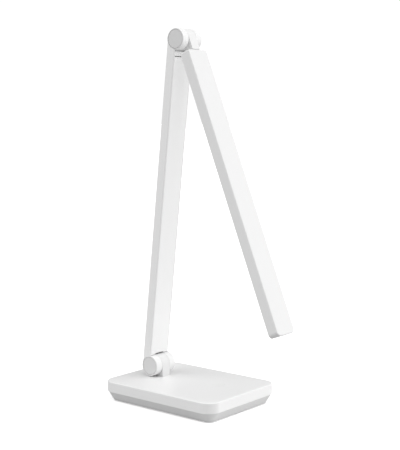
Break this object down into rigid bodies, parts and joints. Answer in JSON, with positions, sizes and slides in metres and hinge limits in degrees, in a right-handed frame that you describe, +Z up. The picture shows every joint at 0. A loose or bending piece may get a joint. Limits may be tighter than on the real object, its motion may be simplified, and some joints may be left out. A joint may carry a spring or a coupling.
{
  "type": "folding desk lamp",
  "caption": "Folding desk lamp: a flat weighted base, a slim stem and a long light head on friction hinges that fold flat onto the base.",
  "frame": {"origin": "on the table under the middle of the base", "axes": "+Z up, -Y towards the front of the lamp, where the head leans out; +X along the hinge axes, to the right when seen from the front"},
  "size_m": [0.12, 0.214, 0.4198],
  "materials": {
    "shell_white": "satin moulded",
    "stem_white": "fine matte moulded",
    "head_white": "fine matte moulded",
    "hinge_white": "satin moulded",
    "cap_white": "fine matte moulded",
    "touch_white": "semi gloss",
    "foot_rubber": "matte",
    "steel_plate": "rolled",
    "screw_steel": "zinc plated",
    "shaft_steel": "turned",
    "socket_steel": "drawn shell",
    "board_green": "solder mask",
    "chip_black": "moulded",
    "cell_silver": "foil pouch",
    "strap_grey": "moulded",
    "led_board_white": "white mask",
    "led_yellow": "phosphor",
    "diffuser_opal": "opal",
    "lead_black": "matte"
  },
  "bodies": {
    "base": {"base_top_shell": "shell_white", "base_bottom_shell": "shell_white", "corner_feet": "foot_rubber", "front_foot": "foot_rubber", "centre_pad": "foot_rubber", "base_screws": "screw_steel", "ballast_plate": "steel_plate", "ballast_retainers": "screw_steel", "battery_cells": "cell_silver", "battery_strap": "strap_grey", "main_board": "board_green", "board_parts": "chip_black", "board_screws": "screw_steel", "charging_board": "board_green", "charging_socket": "socket_steel", "touch_key": "touch_white", "touch_board": "board_green", "hinge_post": "hinge_white", "hinge_post_screws": "screw_steel"},
    "stem": {"stem_channel": "stem_white", "stem_front_cover": "stem_white", "stem_lead": "lead_black", "lower_hinge_shaft": "shaft_steel", "lower_hinge_washers": "screw_steel", "lower_hinge_nut": "screw_steel", "lower_hinge_caps": "cap_white", "upper_hinge_shaft": "shaft_steel", "upper_hinge_washers": "screw_steel", "upper_hinge_nut": "screw_steel", "upper_hinge_caps": "cap_white"},
    "head": {"head_shell": "head_white", "head_inner_cover": "head_white", "head_knuckle": "hinge_white", "knuckle_screws": "screw_steel", "led_board": "led_board_white", "led_chips": "led_yellow", "diffuser": "diffuser_opal", "head_lead": "lead_black"}
  },
  "joints": [
    {"name": "stem_fold", "type": "hinge", "parent": "base", "child": "stem", "pos_m": [0, 0.047, 0.0368], "axis": [1, 0, 0], "range_deg": [-30, 83.78]},
    {"name": "head_fold", "type": "hinge", "parent": "stem", "child": "head", "pos_m": [0, 0.00653, 0.4081], "axis": [-1, 0, 0], "range_deg": [-28.42, 150]}
  ]
}
